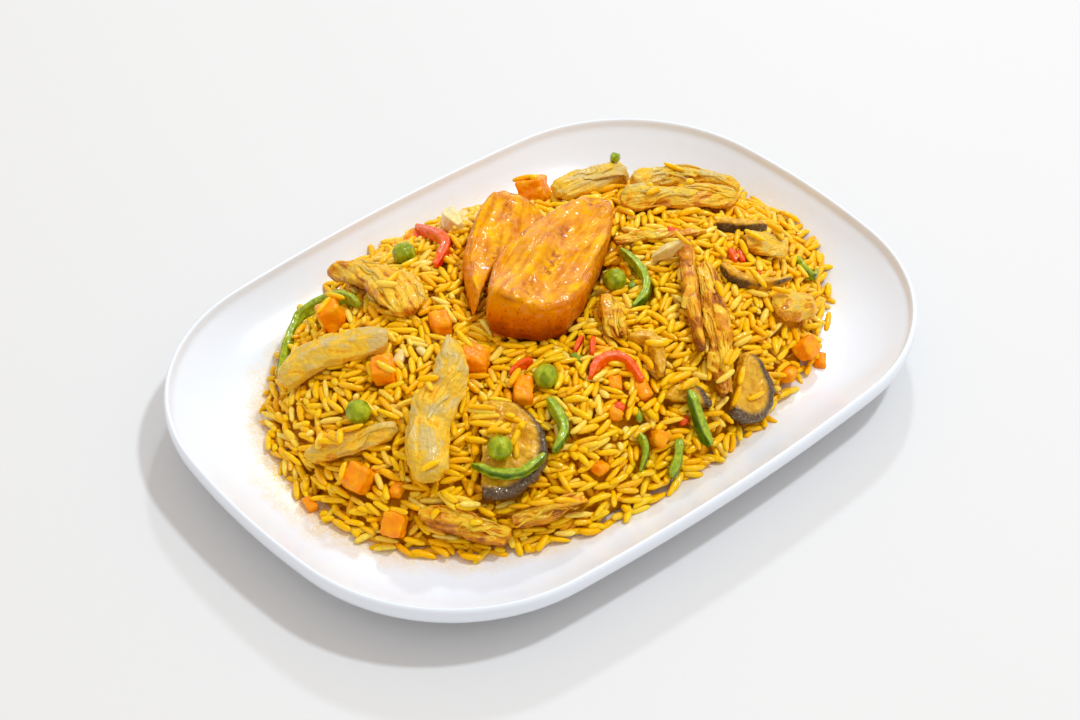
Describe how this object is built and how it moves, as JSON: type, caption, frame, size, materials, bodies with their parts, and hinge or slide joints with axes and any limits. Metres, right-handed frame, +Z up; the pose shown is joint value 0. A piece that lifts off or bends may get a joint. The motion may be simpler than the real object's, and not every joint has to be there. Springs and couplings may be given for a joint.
{
  "type": "arroz con pollo on a platter",
  "caption": "Mound of yellow rice with shredded chicken, fried plantain, peas, peppers, carrot, aubergine and onion, served on a white oblong platter.",
  "frame": {"origin": "middle of the platter's foot, on the table", "axes": "+X along the platter's length, +Y across it, +Z up"},
  "size_m": [0.29, 0.211, 0.0596],
  "materials": {
    "glaze": "white gloss glaze, with a thin film of yellow oil round the rice",
    "rice": null,
    "chicken": null,
    "plantain": null,
    "pea": null,
    "green_pepper": null,
    "red_pepper": null,
    "carrot": null,
    "aubergine": null,
    "onion": null
  },
  "bodies": {
    "root": {"aubergine_front": "aubergine", "aubergine_large": "aubergine", "aubergine_middle": "aubergine", "aubergine_right": "aubergine", "aubergine_thin_lower": "aubergine", "aubergine_thin_upper": "aubergine", "carrot_back": "carrot", "carrot_beside_big": "carrot", "carrot_beside_smooth": "carrot", "carrot_front": "carrot", "carrot_front_low": "carrot", "carrot_left": "carrot", "carrot_middle": "carrot", "carrot_right": "carrot", "carrot_sunk": "carrot", "carrot_under_curl": "carrot", "chicken_back_left": "chicken", "chicken_back_low": "chicken", "chicken_back_right": "chicken", "chicken_big": "chicken", "chicken_brown": "chicken", "chicken_browned": "chicken", "chicken_curled": "chicken", "chicken_dark": "chicken", "chicken_half_sunk": "chicken", "chicken_long": "chicken", "chicken_low": "chicken", "chicken_right_lower": "chicken", "chicken_right_upper": "chicken", "chicken_smooth": "chicken", "chicken_thin": "chicken", "green_pepper_edge": "green_pepper", "green_pepper_hook": "green_pepper", "green_pepper_left": "green_pepper", "green_pepper_middle": "green_pepper", "green_pepper_over": "green_pepper", "green_pepper_right": "green_pepper", "green_pepper_short": "green_pepper", "green_pepper_thin": "green_pepper", "green_pepper_top": "green_pepper", "onion_back": "onion", "onion_middle": "onion", "pea_back_left": "pea", "pea_bright": "pea", "pea_middle": "pea", "pea_on_aubergine": "pea", "pea_upper": "pea", "plantain_back": "plantain", "plantain_front": "plantain", "platter": "glaze", "red_pepper_arc": "red_pepper", "red_pepper_back": "red_pepper", "red_pepper_corner": "red_pepper", "red_pepper_right": "red_pepper", "red_pepper_thin": "red_pepper", "red_pepper_under": "red_pepper", "red_pepper_upright": "red_pepper", "rice": "rice"}
  },
  "joints": []
}
